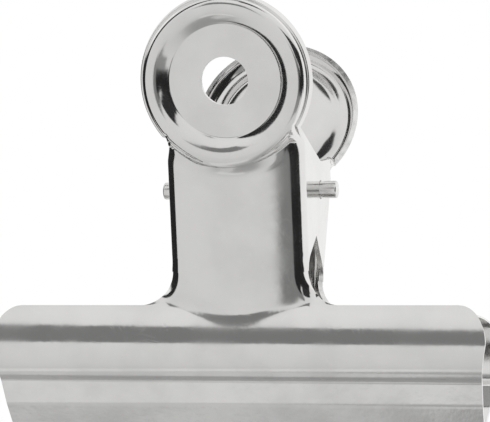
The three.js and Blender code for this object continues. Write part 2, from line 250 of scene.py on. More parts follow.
def from_plate(x, rise, depth):
    """A point of the leaning plate: rise along its face, depth behind it."""
    y = -PLATE_REACH + depth * TILT_COS - rise * TILT_SIN
    z = PIN_HEIGHT + rise * TILT_COS + depth * TILT_SIN
    return Vector((x, y, z))


# Heights of the thumb disc and the neck above the plate's face


def proud_of_bead(radius, base, fillet):
    """Height of the face where the bead stands on a base, joined by a fillet.

    It rises as a cone, rounds over its crest as a dome, and comes down as a quarter circle
    with a steep wall below it.
    """
    offset = radius - BEAD_CREST
    if offset < 0.0:
        dome = BEAD_HEIGHT - offset * offset / (2.0 * BEAD_DOME)
        ring = round_min(BEAD_SLOPE * (radius - FACE_RADIUS), dome, BEAD_DOME_FILLET)
    elif offset < BEAD_SHOULDER:
        ring = BEAD_HEIGHT - BEAD_SHOULDER + math.sqrt(BEAD_SHOULDER**2 - offset * offset)
    else:
        ring = BEAD_HEIGHT - BEAD_SHOULDER - BEAD_WALL_SLOPE * (offset - BEAD_SHOULDER)
    return round_max(ring, base, fillet)


def skirt_base(radius):
    return -SKIRT_SLOPE * round_max(radius - SKIRT_CORNER, 0.0, SKIRT_FILLET)


def panel_depth(across):
    return BOW_RADIUS - math.sqrt(BOW_RADIUS**2 - across**2)


def neck_proud(x, rise):
    """Height of the neck's face, with the bead and the end of the skirt rising from it."""
    radius = math.hypot(x, DISC_RISE - rise)
    across = abs(x - NECK_MIDDLE)
    side = ease(across, APRON_MIDDLE, APRON_SIDE)
    base = round_max(-panel_depth(across), skirt_base(radius), SKIRT_NECK_FILLET)
    if radius > SKIRT_RADIUS + APRON_MARGIN:
        return base
    fillet = BEAD_OUTER_FILLET * ease(radius, BEAD_SPLIT, BEAD_FILLET_FULL)
    pressed = proud_of_bead(radius, base, max(fillet, LEAST_FILLET))
    apron = mix(BEAD_HEIGHT, base, ease(radius, BEAD_CREST - APRON_OVERLAP, APRON_RADIUS))
    return mix(apron, pressed, max(side, 1.0 - ease(radius, BEAD_SPLIT, APRON_FULL)))


def even_steps(points, count):
    """Points at even lengths along a chain of 2-D points."""
    lengths = [0.0]
    for before, after in zip(points, points[1:]):
        lengths.append(lengths[-1] + math.dist(before, after))
    steps = []
    place = 0
    for step in range(count + 1):
        goal = lengths[-1] * step / count
        while place < len(points) - 2 and lengths[place + 1] < goal:
            place += 1
        span = lengths[place + 1] - lengths[place]
        share = (goal - lengths[place]) / span
        low = points[place]
        high = points[place + 1]
        steps.append((mix(low[0], high[0], share), mix(low[1], high[1], share)))
    return steps


def disc_section(start, end, count, base, fillet):
    """Section of the disc as (radius, height above the face)."""
    fine = []
    for step in range(SECTION_STEPS + 1):
        radius = mix(start, end, step / SECTION_STEPS)
        fine.append((radius, proud_of_bead(radius, base(radius), fillet)))
    return even_steps(fine, count)


def flat_base(radius):
    return 0.0


FACE_END = FACE_RADIUS - FACE_MARGIN
FACE_SECTION = disc_section(HOLE_RADIUS, FACE_END, FACE_STEPS, flat_base, BEAD_INNER_FILLET)
BEAD_SECTION = disc_section(FACE_END, BEAD_SPLIT, BEAD_STEPS, flat_base, BEAD_INNER_FILLET)
SKIRT_SECTION = disc_section(BEAD_SPLIT, SKIRT_RADIUS, RIM_COLUMNS, skirt_base, BEAD_OUTER_FILLET)

# Outline of the ear, as depth behind the plate's face against rise along it

TOP_TANGENT = Vector((
    PIN_DEPTH + LOBE_RADIUS * math.sin(EAR_TOP_SLOPE),
    PIN_RISE + LOBE_RADIUS * math.cos(EAR_TOP_SLOPE),
))
FOOT_TANGENT = Vector((
    PIN_DEPTH + LOBE_RADIUS * math.sin(EAR_FOOT_SLOPE),
    PIN_RISE - LOBE_RADIUS * math.cos(EAR_FOOT_SLOPE),
))
FILLET_X = SHOULDER_FLANGE + EAR_FOOT_FILLET
FILLET_END_X = FILLET_X - EAR_FOOT_FILLET * math.sin(EAR_FOOT_SLOPE)
FILLET_END_Y = FOOT_TANGENT.y - (FOOT_TANGENT.x - FILLET_END_X) * math.tan(EAR_FOOT_SLOPE)
FILLET_Y = FILLET_END_Y - EAR_FOOT_FILLET * math.cos(EAR_FOOT_SLOPE)


def ear_depth(rise, side):
    """Depth of the ear's free edge at a rise. The left ear comes out from under the skirt."""
    if rise > TOP_TANGENT.y:
        depth = TOP_TANGENT.x - (rise - TOP_TANGENT.y) / math.tan(EAR_TOP_SLOPE)
        if side < 0.0:
            corner = DISC_RISE - SKIRT_RADIUS * math.cos(LEFT_SPOKE)
            depth = min(depth, SKIRT_DEPTH + (corner - rise) * LEFT_EAR_SLOPE)
        return max(depth, SKIRT_DEPTH)
    if rise > FOOT_TANGENT.y:
        return PIN_DEPTH + math.sqrt(LOBE_RADIUS**2 - (rise - PIN_RISE) ** 2)
    if rise > FILLET_END_Y:
        return FOOT_TANGENT.x - (FOOT_TANGENT.y - rise) / math.tan(EAR_FOOT_SLOPE)
    run = min(abs(rise - FILLET_Y), EAR_FOOT_FILLET)
    return FILLET_X - math.sqrt(EAR_FOOT_FILLET**2 - run**2)


def bend_profile(depth):
    """Section from the neck's face round the bend and down the ear, as (across, depth)."""
    if depth < BEND_DEPTH:
        turn = math.acos(min((BEND_DEPTH - depth) / NECK_BEND, math.cos(BEND_START + LEAST_BEND)))
        total = NECK_BEND * (turn - BEND_START)
    else:
        total = BEND_LENGTH + depth - BEND_DEPTH
    straight = max(STRAIGHT_SHARE * total, total - BEND_LENGTH)
    profile = []
    for column in range(RIM_COLUMNS + 1):
        if column <= BEND_COLUMNS:
            along = (total - straight) * column / BEND_COLUMNS
        else:
            share = (column - BEND_COLUMNS) / (RIM_COLUMNS - BEND_COLUMNS)
            along = total - straight * (1.0 - share)
        if along < BEND_LENGTH:
            turn = BEND_START + along / NECK_BEND
            across = BEND_CENTRE + NECK_BEND * math.sin(turn)
            back = BEND_DEPTH - NECK_BEND * math.cos(turn)
        else:
            across = NECK_HALF
            back = BEND_DEPTH + along - BEND_LENGTH
        profile.append((across, back))
    return profile


# Reach of the jaw strip, and of the neck's foot where the two meet


def strip_reach(height, web):
    """Reach of the jaw strip at a height. The web above its top edge is rounded in by web."""
    if height > JAW_TOP:
        reach = JAW_TOP_REACH + (height - JAW_TOP) * SHOULDER_RISE / SHOULDER_RADIUS
    elif height > BULGE_HEIGHT:
        reach = BULGE_REACH - UPPER_RADIUS + math.sqrt(UPPER_RADIUS**2 - (height - BULGE_HEIGHT) ** 2)
    elif height > STEP_HEIGHT:
        reach = BULGE_REACH - LOWER_RADIUS + math.sqrt(LOWER_RADIUS**2 - (height - BULGE_HEIGHT) ** 2)
    elif height > KNEE_HEIGHT:
        reach = mix(KNEE_REACH, STEP_REACH, (height - KNEE_HEIGHT) / (STEP_HEIGHT - KNEE_HEIGHT))
    elif height > LIP_HEIGHT:
        reach = mix(LIP_REACH, KNEE_REACH, (height - LIP_HEIGHT) / (KNEE_HEIGHT - LIP_HEIGHT))
    else:
        reach = LIP_REACH
    bulge_slope = (BULGE_HEIGHT - STEP_HEIGHT) / (STEP_REACH - BULGE_REACH + LOWER_RADIUS)
    step_slope = (STEP_REACH - KNEE_REACH) / (STEP_HEIGHT - KNEE_HEIGHT)
    knee_slope = (KNEE_REACH - LIP_REACH) / (KNEE_HEIGHT - LIP_HEIGHT)
    top_slope = (JAW_TOP - BULGE_HEIGHT) / (JAW_TOP_REACH - BULGE_REACH + UPPER_RADIUS)
    web_slope = SHOULDER_RISE / SHOULDER_RADIUS
    reach += crease_rounding(height - STEP_HEIGHT, STEP_ROUNDING, bulge_slope - step_slope)
    reach += crease_rounding(height - KNEE_HEIGHT, KNEE_ROUNDING, step_slope - knee_slope)
    reach += crease_rounding(height - LIP_HEIGHT, LIP_ROUNDING, knee_slope)
    reach += web * crease_rounding(height - JAW_TOP, WEB_ROUNDING, top_slope + web_slope)
    return reach


def jaw_reach(x, height):
    across = abs(x - NECK_MIDDLE)
    strip = strip_reach(height, 1.0 - ease(across, WEB_FADE_START, SHOULDER_CENTRE))
    if across > SHOULDER_CENTRE + NECK_MARGIN or height < BULGE_HEIGHT:
        return strip
    panel = PLATE_REACH + (height - PIN_HEIGHT) * TILT_TAN - panel_depth(across) / TILT_COS
    side = ease(across, CREASE_MIDDLE, CREASE_SIDE)
    fillet = mix(CREASE_FILLET_MIDDLE, CREASE_FILLET_SIDE, side)
    return round_max(panel, strip, fillet)


def jaw_point(x, height):
    return Vector((x, -jaw_reach(x, height), height))


def jaw_half_width(height):
    """Half the jaw's width at a height, out to its cut end."""
    if height > BULGE_HEIGHT:
        rise = min((height - BULGE_HEIGHT) / (JAW_TOP - BULGE_HEIGHT), 1.0)
        return JAW_HALF - CORNER_WIDTH * (1.0 - math.sqrt(1.0 - rise * rise))
    if height > STEP_HEIGHT:
        share = (height - STEP_HEIGHT) / (BULGE_HEIGHT - STEP_HEIGHT)
        return JAW_HALF - STEP_INSET * (1.0 - share)
    return JAW_HALF - mix(LIP_INSET, STEP_INSET, height / STEP_HEIGHT)


# Places of the blank's grid points on the finished pressing


def neck_share(v):
    """Share of the neck's length at a share of its rows, which lie closest near the bead."""
    if v < FINE_ROWS:
        return FINE_SHARE * v / FINE_ROWS
    return FINE_SHARE + (1.0 - FINE_SHARE) * (v - FINE_ROWS) / (1.0 - FINE_ROWS)


def neck_spot(u, v):
    """Place across and rise of a point of the neck's face."""
    spoke = mix(LEFT_SPOKE, RIGHT_SPOKE, u)
    share = neck_share(v)
    top_x = BEAD_SPLIT * math.sin(spoke)
    top_rise = DISC_RISE - BEAD_SPLIT * math.cos(spoke)
    foot_x = NECK_MIDDLE + FIELD_HALF * (2.0 * u - 1.0)
    depth = panel_depth(foot_x - NECK_MIDDLE)
    foot_rise = (SHOULDER_TOP - PIN_HEIGHT - depth * TILT_SIN) / TILT_COS
    return mix(top_x, foot_x, ease(share, 0.0, SPREAD_SHARE)), mix(top_rise, foot_rise, share)


def neck_place(u, v):
    x, rise = neck_spot(u, v)
    return from_plate(x, rise, -neck_proud(x, rise))


def rim_place(side):
    """Places of the neck's side: at the top it is the disc's skirt, below it the bend and ear."""
    spoke = RIGHT_SPOKE if side > 0.0 else LEFT_SPOKE
    edge_u = 1.0 if side > 0.0 else 0.0
    skirt = []
    for radius, height in SKIRT_SECTION:
        x = radius * math.sin(spoke)
        skirt.append(Vector((x, DISC_RISE - radius * math.cos(spoke), -height)))
    drop = skirt[0].y - skirt[-1].y

    def place(u, v):
        column = round(u * RIM_COLUMNS)
        share = neck_share(v)
        x, rise = neck_spot(edge_u, v)
        edge = Vector((x, rise, -neck_proud(x, rise)))
        free_rise = rise - drop * (1.0 - ease(share, 0.0, DROP_SHARE))
        depth = ear_depth(free_rise, side)
        free = Vector((NECK_MIDDLE + side * NECK_HALF, free_rise, depth))
        bend = []
        for step, (across, back) in enumerate(bend_profile(depth)):
            level = mix(rise, free_rise, step / RIM_COLUMNS)
            bend.append(Vector((NECK_MIDDLE + side * across, level, back)))
        change = ease(share, 0.0, SKIRT_SHARE)
        start = skirt[0].lerp(bend[0], change)
        end = skirt[-1].lerp(bend[-1], change)
        point = skirt[column].lerp(bend[column], change)
        point = point + (edge - start) * (1.0 - u) + (free - end) * u
        return from_plate(point.x, point.y, point.z)

    return place


def shoulder_edge(side, v):
    """Inner border of a shoulder's rim: place across, height and the angle round the shoulder."""
    angle = v * math.pi / 2.0
    radius = SHOULDER_RADIUS + RIM_WIDTH
    across = SHOULDER_CENTRE - radius * math.cos(angle)
    return NECK_MIDDLE + side * across, SHOULDER_TOP - radius * math.sin(angle), angle


def shoulder_field_place(u, v):
    left, height, _ = shoulder_edge(-1.0, v)
    right, height, _ = shoulder_edge(1.0, v)
    return jaw_point(mix(left, right, u), height)


def shoulder_rim_place(side):
    """Places of a shoulder's rim, whose flange fades out on its way to the jaw's top edge."""
    edge_u = 1.0 if side > 0.0 else 0.0
    _, foot_rise = neck_spot(edge_u, 1.0)
    profile = bend_profile(ear_depth(foot_rise, side))

    def place(u, v):
        x, height, angle = shoulder_edge(side, v)
        column = round(u * RIM_COLUMNS)
        across = profile[column][0] - profile[0][0]
        back = profile[column][1] - profile[0][1]
        edge = jaw_point(x, height)
        bent = edge + Vector((
            side * math.cos(angle) * across,
            back * TILT_COS - math.sin(angle) * across * TILT_TAN,
            math.sin(angle) * across + back * TILT_SIN,
        ))
        flat_x = x + side * math.cos(angle) * RIM_WIDTH * u
        flat = jaw_point(flat_x, height + math.sin(angle) * RIM_WIDTH * u)
        return flat.lerp(bent, math.cos(angle) ** 2)

    return place


def strip_place(side):
    """Places of the jaw's top border, out from a shoulder to the rounded corner."""

    def place(u, v):
        height = STRIP_TOP + RIM_WIDTH * v
        start = NECK_MIDDLE + side * SHOULDER_CENTRE
        return jaw_point(mix(start, side * jaw_half_width(height), u), height)

    return place


def stepped(top, stretches):
    """Heights from top downwards, in even steps over each (foot, count) stretch."""
    heights = [top]
    for foot, count in stretches:
        for step in range(count):
            heights.append(mix(top, foot, (step + 1) / count))
        top = foot
    return heights


# Rows of the jaw's grid, from its top border to its foot, with the finest over the creases
JAW_HEIGHTS = stepped(STRIP_TOP, [
    (NECK_CREASE_FOOT, 14),
    (STEP_HEIGHT + STEP_MARGIN, 26),
    (STEP_HEIGHT - STEP_MARGIN, 12),
    (KNEE_HEIGHT + CREASE_MARGIN, 6),
    (KNEE_HEIGHT - CREASE_MARGIN, 8),
    (LIP_HEIGHT + CREASE_MARGIN, 6),
    (LIP_HEIGHT - CREASE_MARGIN, 8),
    (0.0, 4),
])
JAW_ROWS = len(JAW_HEIGHTS) - 1


def jaw_middle_place(u, v):
    height = JAW_HEIGHTS[round(v * JAW_ROWS)]
    return jaw_point(NECK_MIDDLE + SHOULDER_CENTRE * (2.0 * u - 1.0), height)


def jaw_end_place(side):
    def place(u, v):
        height = JAW_HEIGHTS[round(v * JAW_ROWS)]
        start = NECK_MIDDLE + side * SHOULDER_CENTRE
        return jaw_point(mix(start, side * jaw_half_width(height), u), height)

    return place


# Mesh work


def press_grid(bm, columns, rows, place):
    """Lays a grid blank and moves each of its points to its place on the pressing."""
    grid = bmesh.ops.create_grid(bm, x_segments=columns, y_segments=rows, size=1.0)
    for vert in grid["verts"]:
        vert.co = place((vert.co.x + 1.0) / 2.0, (1.0 - vert.co.y) / 2.0)


def spin_section(bm, section, start, sweep, steps):
    """Turns a section of (radius, height) round the disc's middle, from a spoke on."""
    verts = []
    for radius, height in section:
        x = radius * math.sin(start)
        verts.append(bm.verts.new((x, DISC_RISE - radius * math.cos(start), -height)))
    edges = []
    for before, after in zip(verts, verts[1:]):
        edges.append(bm.edges.new((before, after)))
    bmesh.ops.spin(
        bm,
        geom=verts + edges,
        cent=(0.0, DISC_RISE, 0.0),
        axis=(0.0, 0.0, 1.0),
        angle=sweep,
        steps=steps,
    )


def placed(name, data):
    """A new object at the origin that shows a mesh, a curve or a camera."""
    piece = bpy.data.objects.new(name, data)
    bpy.context.scene.collection.objects.link(piece)
    return piece


def mesh_object(name, bm):
    mesh = bpy.data.meshes.new(name)
    bm.to_mesh(mesh)
    bm.free()
    return placed(name, mesh)


def in_metres(bm):
    """Scales a form that was made in millimetres, and shades it smooth."""
    bmesh.ops.scale(bm, vec=(MM, MM, MM), verts=bm.verts)
    for face in bm.faces:
        face.smooth = True


def finished(piece, cutter=None):
    """Applies a piece's modifiers, and takes away the cutter that they used."""
    graph = bpy.context.evaluated_depsgraph_get()
    mesh = bpy.data.meshes.new_from_object(piece.evaluated_get(graph))
    piece.modifiers.clear()
    piece.data = mesh
    if cutter:
        bpy.data.objects.remove(cutter)


def plate_blank():
    """The outer face of a jaw plate, as one open surface in millimetres."""
    bm = bmesh.new()
    face = FACE_SECTION[:-1] + BEAD_SECTION
    sweep = RIGHT_SPOKE - LEFT_SPOKE
    skirt_sweep = 2.0 * math.pi - sweep
    spin_section(bm, face, LEFT_SPOKE, sweep, NECK_COLUMNS)
    spin_section(bm, face, RIGHT_SPOKE, skirt_sweep, SKIRT_SPOKES)
    spin_section(bm, SKIRT_SECTION, RIGHT_SPOKE, skirt_sweep, SKIRT_SPOKES)
    for vert in bm.verts:
        vert.co = from_plate(*vert.co)
    press_grid(bm, NECK_COLUMNS, NECK_ROWS, neck_place)
    press_grid(bm, NECK_COLUMNS, SHOULDER_ROWS, shoulder_field_place)
    press_grid(bm, NECK_COLUMNS, JAW_ROWS, jaw_middle_place)
    for side in (-1.0, 1.0):
        press_grid(bm, RIM_COLUMNS, NECK_ROWS, rim_place(side))
        press_grid(bm, RIM_COLUMNS, SHOULDER_ROWS, shoulder_rim_place(side))
        press_grid(bm, JAW_END_COLUMNS, RIM_COLUMNS, strip_place(side))
        press_grid(bm, JAW_END_COLUMNS, JAW_ROWS, jaw_end_place(side))
    bmesh.ops.remove_doubles(bm, verts=bm.verts, dist=WELD)
    bmesh.ops.recalc_face_normals(bm, faces=bm.faces)
    outward = sum(face.normal.y * face.calc_area() for face in bm.faces)
    if outward > 0.0:
        bmesh.ops.reverse_faces(bm, faces=bm.faces)
    return bm


def pin_hole_cutter():
    """A rod that reaches past both ears, for the boolean cut of their pin holes."""
    bm = bmesh.new()
    turn = Matrix.Translation((0.0, 0.0, PIN_HEIGHT * MM)) @ Matrix.Rotation(math.pi / 2.0, 4, "Y")
    bmesh.ops.create_cone(
        bm,
        cap_ends=True,
        segments=PIN_HOLE_SIDES,
        radius1=PIN_HOLE_RADIUS * MM,
        radius2=PIN_HOLE_RADIUS * MM,
        depth=3.0 * NECK_HALF * MM,
        matrix=turn,
    )
    return mesh_object("pin_hole_cutter", bm)


def round_groove(mesh):
    """Rounds the groove behind the bead, where the sheet has stretched over the die."""
    middle = from_plate(0.0, DISC_RISE, 0.0) * MM
    outward = Vector((0.0, -TILT_COS, -TILT_SIN))
    bm = bmesh.new()
    bm.from_mesh(mesh)
    bm.normal_update()
    groove = []
    for vert in bm.verts:
        offset = vert.co - middle
        radius = (offset - outward * offset.dot(outward)).length / MM
        if vert.normal.dot(outward) < 0.0 and GROOVE_INNER < radius < GROOVE_OUTER:
            groove.append(vert)
    for _ in range(GROOVE_PASSES):
        bmesh.ops.smooth_vert(
            bm, verts=groove, factor=0.5, use_axis_x=True, use_axis_y=True, use_axis_z=True
        )
    bm.to_mesh(mesh)
    bm.free()


def jaw_plates(plating, sheared):
    """The front plate, and the rear one: the same pressing, turned half round."""
    bm = plate_blank()
    in_metres(bm)
    front = mesh_object("front_jaw_plate", bm)
    front.data.materials.append(plating)
    front.data.materials.append(sheared)
    wall = front.modifiers.new("sheet", "SOLIDIFY")
    wall.thickness = SHEET * MM
    wall.offset = -1.0
    wall.use_even_offset = True
    wall.material_offset_rim = 1
    finished(front)
    round_groove(front.data)
    cutter = pin_hole_cutter()
    hole = front.modifiers.new("pin_hole", "BOOLEAN")
    hole.operation = "DIFFERENCE"
    hole.solver = "EXACT"
    hole.object = cutter
    edge = front.modifiers.new("cut_edge", "BEVEL")
    edge.width = CUT_EDGE * MM
    edge.segments = 2
    edge.limit_method = "ANGLE"
    edge.angle_limit = CUT_EDGE_ANGLE
    edge.harden_normals = True
    finished(front, cutter)
    rear_mesh = front.data.copy()
    rear_mesh.transform(Matrix.Rotation(math.pi, 4, "Z"))
    return front, placed("rear_jaw_plate", rear_mesh)


def hinge_pin():
    """A turned rod: its ends are dished a little, inside a flat border and a rounded edge."""
    half = PIN_LENGTH / 2.0
    outline = [(0.0, -half + PIN_END_DISH), (PIN_RADIUS - PIN_EDGE - PIN_END_BORDER, -half)]
    for step in range(PIN_EDGE_STEPS + 1):
        turn = math.pi / 2.0 * step / PIN_EDGE_STEPS
        radius = PIN_RADIUS - PIN_EDGE + PIN_EDGE * math.sin(turn)
        outline.append((radius, -half + PIN_EDGE - PIN_EDGE * math.cos(turn)))
    outline += [(radius, -along) for radius, along in reversed(outline)]
    bm = bmesh.new()
    verts = [bm.verts.new((along, radius, 0.0)) for radius, along in outline]
    edges = [bm.edges.new(pair) for pair in zip(verts, verts[1:])]
    bmesh.ops.spin(
        bm,
        geom=verts + edges,
        cent=(0.0, 0.0, 0.0),
        axis=(1.0, 0.0, 0.0),
        angle=2.0 * math.pi,
        steps=PIN_SIDES,
        use_merge=True,
    )
    bmesh.ops.remove_doubles(bm, verts=bm.verts, dist=WELD)
    bmesh.ops.recalc_face_normals(bm, faces=bm.faces)
    bmesh.ops.translate(bm, vec=(0.0, 0.0, PIN_HEIGHT), verts=bm.verts)
    in_metres(bm)
    piece = mesh_object("nickel_hinge_pin", bm)
    piece.data.set_sharp_from_angle(angle=PIN_SHARP_ANGLE)
    return piece


def spring_route():
    """Middle line of the wire: a leg along each neck panel, and the coil round the pin."""
    coil_half = COIL_TURNS * COIL_PITCH / 2.0
    foot_depth = panel_depth(coil_half) + SHEET + LEG_CLEARANCE + WIRE / 2.0

    def foot_point(rise):
        point = from_plate(0.0, rise, foot_depth)
        return Vector((point.y, point.z - PIN_HEIGHT))

    knee = foot_point(LEG_FOOT_RISE)
    tip = foot_point(LEG_FOOT_RISE + LEG_FOOT)
    touch = math.atan2(knee.y, knee.x) + math.acos(COIL_RADIUS / knee.length)
    sweep = 2.0 * math.pi * COIL_TURNS + 2.0 * (1.5 * math.pi - touch)
    route = []
    for share in LEG_SHARES:
        point = tip.lerp(knee, share)
        route.append(Vector((-coil_half, point.x, point.y)))
    steps = COIL_STEPS * COIL_TURNS
    coil = []
    for step in range(steps + 1):
        angle = touch + sweep * step / steps
        along = -coil_half + 2.0 * coil_half * step / steps
        coil.append(Vector((along, COIL_RADIUS * math.cos(angle), COIL_RADIUS * math.sin(angle))))
    for share in LEG_TO_COIL_SHARES:
        point = Vector((-coil_half, knee.x, knee.y)).lerp(coil[0], share)
        route.append(point)
    mirrored = [Vector((-point.x, -point.y, point.z)) for point in reversed(route)]
    return [point + Vector((0.0, 0.0, PIN_HEIGHT)) for point in route + coil + mirrored]


def torsion_spring():
    """The wire, drawn along its route as a round curve and then made a mesh."""
    route = spring_route()
    line = bpy.data.curves.new("spring_line", "CURVE")
    line.dimensions = "3D"
    line.bevel_depth = WIRE / 2.0 * MM
    line.bevel_resolution = 5
    line.use_fill_caps = True
    spline = line.splines.new("POLY")
    spline.points.add(len(route) - 1)
    for point, place in zip(spline.points, route):
        point.co = (place.x * MM, place.y * MM, place.z * MM, 1.0)
    helper = placed("spring_line", line)
    graph = bpy.context.evaluated_depsgraph_get()
    mesh = bpy.data.meshes.new_from_object(helper.evaluated_get(graph))
    bpy.data.objects.remove(helper)
    mesh.shade_smooth()
    return placed("coiled_spring", mesh)


# Materials: numbers, node helpers, and then the effects that the metals share

CLOUD_RANGE = (0.32, 0.7)
SCRATCH_ANGLES = (0.5, -0.9, 1.35)
SCRATCHES_IN_A_METRE = 900.0
SCRATCH_WIDTH = 0.012
SCRATCH_STRETCH = 0.07
SCRATCH_TINT = 0.18
SCRATCHED_PATCHES = 330.0
SCRATCHED_RANGE = (0.52, 0.62)
MARKS_FADE = 0.002


def add_node(tree, kind, **settings):
    node = tree.nodes.new(kind)
    for name, value in settings.items():
        setattr(node, name, value)
    return node


def feed(tree, socket, source):
    """Sets a socket to a number, or links another socket to it."""
    if isinstance(source, bpy.types.NodeSocket):
        tree.links.new(source, socket)
    else:
        socket.default_value = source


def math_step(tree, operation, *values):
    node = add_node(tree, "ShaderNodeMath", operation=operation)
    for socket, value in zip(node.inputs, values):
        feed(tree, socket, value)
    return node.outputs[0]


def effect_group(name, given):
    """An empty effect: a place and numbers go in, and a mask comes out."""
    tree = bpy.data.node_groups.new(name, "ShaderNodeTree")
    tree.interface.new_socket("Place", in_out="INPUT", socket_type="NodeSocketVector")
    for socket in given:
        tree.interface.new_socket(socket, in_out="INPUT", socket_type="NodeSocketFloat")
    tree.interface.new_socket("Mask", in_out="OUTPUT", socket_type="NodeSocketFloat")
    taken = add_node(tree, "NodeGroupInput").outputs
    result = add_node(tree, "NodeGroupOutput").inputs
    return tree, taken, result


def stretch(tree, vector, across, along):
    """A place scaled by one number across the metal and by another up it."""
    scale = add_node(tree, "ShaderNodeCombineXYZ")
    for axis, size in (("X", across), ("Y", across), ("Z", along)):
        feed(tree, scale.inputs[axis], size)
    scaled = add_node(tree, "ShaderNodeVectorMath", operation="MULTIPLY")
    tree.links.new(vector, scaled.inputs[0])
    tree.links.new(scale.outputs[0], scaled.inputs[1])
    return scaled.outputs[0]


def noise_at(tree, vector, scale, detail):
    noise = add_node(tree, "ShaderNodeTexNoise")
    tree.links.new(vector, noise.inputs["Vector"])
    feed(tree, noise.inputs["Scale"], scale)
    noise.inputs["Detail"].default_value = detail
    return noise.outputs["Fac"]


def smooth_range(tree, value, low, high):
    """0 at low, 1 at high, and smooth between them."""
    change = add_node(tree, "ShaderNodeMapRange", interpolation_type="SMOOTHSTEP")
    tree.links.new(value, change.inputs["Value"])
    feed(tree, change.inputs["From Min"], low)
    feed(tree, change.inputs["From Max"], high)
    return change.outputs["Result"]


def cloudy_plating_group():
    """Broad soft patches, as handled plating has. Patches is their number in a metre."""
    tree, taken, result = effect_group("cloudy plating", ("Patches",))
    noise = noise_at(tree, taken["Place"], taken["Patches"], 4.0)
    tree.links.new(smooth_range(tree, noise, *CLOUD_RANGE), result["Mask"])
    return tree


def drawn_marks_group():
    """Fine streaks up the metal, which the press leaves."""
    tree, taken, result = effect_group("drawn marks", ("Across", "Along"))
    place = stretch(tree, taken["Place"], taken["Across"], taken["Along"])
    tree.links.new(noise_at(tree, place, 1.0, 3.0), result["Mask"])
    return tree


def hair_scratches_group():
    """Thin lines that lie near one angle, in some places only."""
    tree, taken, result = effect_group("hair scratches", ("Angle", "Across", "Width"))
    turned = add_node(tree, "ShaderNodeVectorRotate", rotation_type="Y_AXIS")
    tree.links.new(taken["Place"], turned.inputs["Vector"])
    tree.links.new(taken["Angle"], turned.inputs["Angle"])
    along = math_step(tree, "MULTIPLY", taken["Across"], SCRATCH_STRETCH)
    place = stretch(tree, turned.outputs[0], taken["Across"], along)
    offset = math_step(tree, "SUBTRACT", noise_at(tree, place, 1.0, 1.0), 0.5)
    off_line = smooth_range(tree, math_step(tree, "ABSOLUTE", offset), 0.0, taken["Width"])
    line = math_step(tree, "SUBTRACT", 1.0, off_line)
    patches = noise_at(tree, turned.outputs[0], SCRATCHED_PATCHES, 2.0)
    some = smooth_range(tree, patches, *SCRATCHED_RANGE)
    tree.links.new(math_step(tree, "MULTIPLY", line, some), result["Mask"])
    return tree


CLOUDS = cloudy_plating_group()
MARKS = drawn_marks_group()
SCRATCHES = hair_scratches_group()


def effect(tree, group, place, **values):
    node = add_node(tree, "ShaderNodeGroup", node_tree=group)
    tree.links.new(place, node.inputs["Place"])
    for name, value in values.items():
        node.inputs[name].default_value = value
    return node.outputs["Mask"]


def mix_colors(tree, factor, first, second):
    blend = add_node(tree, "ShaderNodeMix", data_type="RGBA")
    tree.links.new(factor, blend.inputs["Factor"])
    for socket, color in ((blend.inputs["A"], first), (blend.inputs["B"], second)):
        if isinstance(color, tuple):
            socket.default_value = (*color, 1.0)
        else:
            tree.links.new(color, socket)
    return blend.outputs["Result"]


def mix_numbers(tree, factor, low, high):
    return math_step(tree, "ADD", math_step(tree, "MULTIPLY", factor, high - low), low)


def metal(name, bright, dull, worn, smooth, rough, patches, across, along, marks_top, depths):
    """A plated or drawn metal. The depths are of its clouds, drawn marks and scratches, in metres."""
    material = bpy.data.materials.new(name)
    material.use_nodes = True
    tree = material.node_tree
    shader = tree.nodes["Principled BSDF"]
    shader.inputs["Metallic"].default_value = 1.0
    place = add_node(tree, "ShaderNodeTexCoord").outputs["Object"]
    clouds = effect(tree, CLOUDS, place, Patches=patches)
    marks = effect(tree, MARKS, place, Across=across, Along=along)
    scratches = 0.0
    spread = {"Across": SCRATCHES_IN_A_METRE, "Width": SCRATCH_WIDTH}
    for angle in SCRATCH_ANGLES:
        lines = effect(tree, SCRATCHES, place, Angle=angle, **spread)
        scratches = math_step(tree, "MAXIMUM", lines, scratches)
    color = mix_colors(tree, clouds, bright, dull)
    color = mix_colors(tree, math_step(tree, "MULTIPLY", scratches, SCRATCH_TINT), color, worn)
    tree.links.new(color, shader.inputs["Base Color"])
    haze = math_step(tree, "MAXIMUM", clouds, scratches)
    tree.links.new(mix_numbers(tree, haze, smooth, rough), shader.inputs["Roughness"])
    parts = add_node(tree, "ShaderNodeSeparateXYZ")
    tree.links.new(place, parts.inputs[0])
    low_down = smooth_range(tree, parts.outputs["Z"], marks_top + MARKS_FADE, marks_top)
    drawn = math_step(tree, "MULTIPLY", marks, low_down)
    height = math_step(tree, "MULTIPLY", clouds, depths[0])
    for mask, depth in ((drawn, depths[1]), (scratches, -depths[2])):
        height = math_step(tree, "ADD", height, math_step(tree, "MULTIPLY", mask, depth))
    bump = add_node(tree, "ShaderNodeBump")
    bump.inputs["Distance"].default_value = 1.0
    tree.links.new(height, bump.inputs["Height"])
    tree.links.new(bump.outputs["Normal"], shader.inputs["Normal"])
    return material


